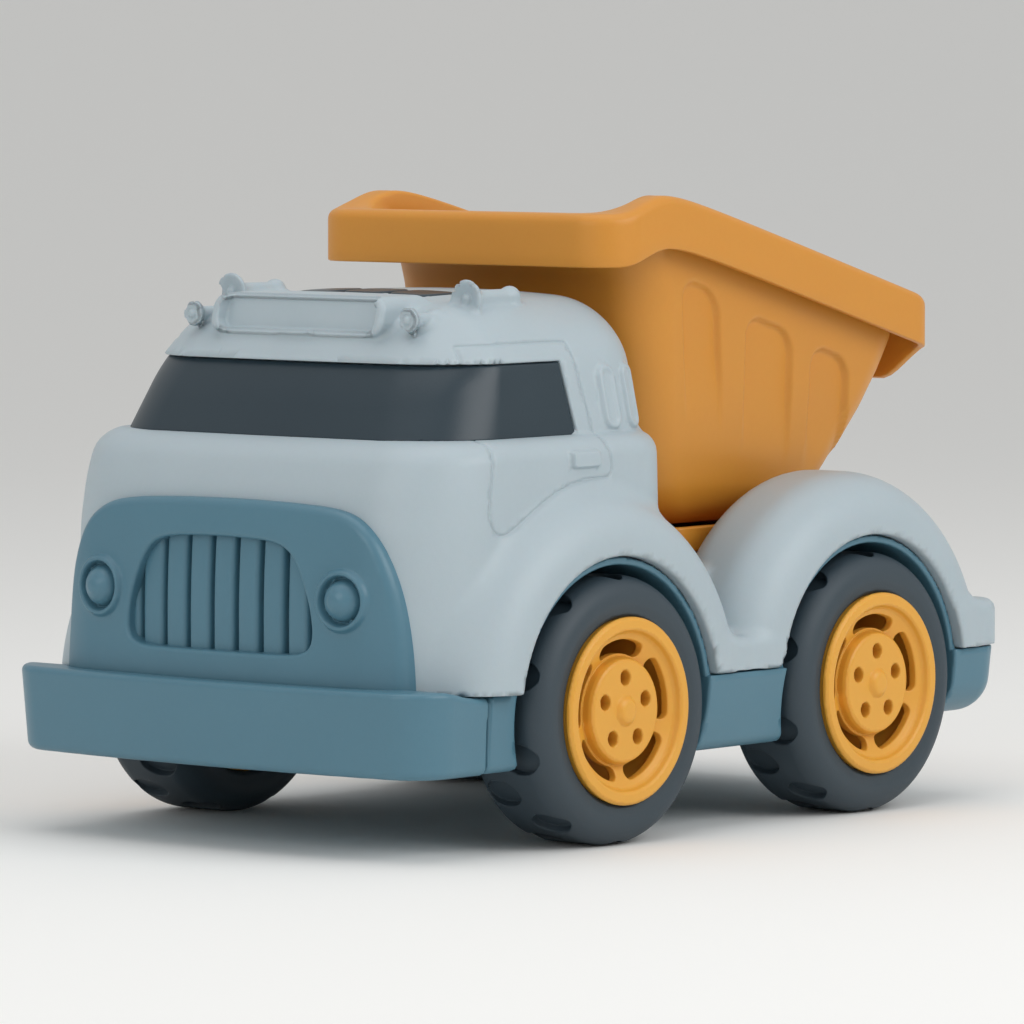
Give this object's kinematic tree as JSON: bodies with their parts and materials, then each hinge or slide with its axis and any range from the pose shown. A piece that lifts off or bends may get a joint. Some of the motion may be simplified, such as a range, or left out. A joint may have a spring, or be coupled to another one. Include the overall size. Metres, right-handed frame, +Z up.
{
  "type": "push along dump truck",
  "caption": "Toy dump truck with free-rolling wheels, a closed cab, wide wheel arches and a load bed that tips back on a hinge pin behind the rear axle.",
  "frame": {"origin": "on the ground, under the middle of the truck's overall length and width", "axes": "+X forward towards the nose, +Y to the truck's left side, +Z up"},
  "size_m": [0.259, 0.164, 0.1711],
  "materials": {
    "pale_body": "satin moulded plastic, pale blue",
    "teal_body": "satin moulded plastic, teal",
    "mustard_body": "satin moulded plastic, mustard",
    "rim_plastic": "satin moulded plastic, light mustard",
    "dark_window": "dark slate plastic, slightly glossy",
    "tyre": "dark slate moulded tyre, satin",
    "steel": "drawn steel wire and screws"
  },
  "bodies": {
    "truck_body": {"upper_body": "pale_body", "window_band": "dark_window", "roof_lights": "dark_window", "chassis_tub": "teal_body", "front_bumper": "teal_body", "grille_panel": "teal_body", "deck_plate": "mustard_body", "hinge_pin": "steel", "body_screws": "steel", "deck_screws": "steel", "bumper_screws": "steel"},
    "load_bed": {"tipper_bed": "mustard_body", "bed_foot": "mustard_body", "bed_screws": "steel"},
    "front_wheels": {"front_axle": "steel", "rim_front_left": "rim_plastic", "rim_front_right": "rim_plastic", "tyre_front_left": "tyre", "tyre_front_right": "tyre"},
    "rear_wheels": {"rear_axle": "steel", "rim_rear_left": "rim_plastic", "rim_rear_right": "rim_plastic", "tyre_rear_left": "tyre", "tyre_rear_right": "tyre"}
  },
  "joints": [
    {"name": "bed_tip", "type": "hinge", "parent": "truck_body", "child": "load_bed", "pos_m": [-0.0815, 0, 0.077], "axis": [0, -1, 0], "range_deg": [0, 65]},
    {"name": "front_axle_spin", "type": "hinge", "parent": "truck_body", "child": "front_wheels", "pos_m": [0.0485, 0, 0.036], "axis": [0, 1, 0], "continuous": true},
    {"name": "rear_axle_spin", "type": "hinge", "parent": "truck_body", "child": "rear_wheels", "pos_m": [-0.0615, 0, 0.036], "axis": [0, 1, 0], "continuous": true}
  ]
}
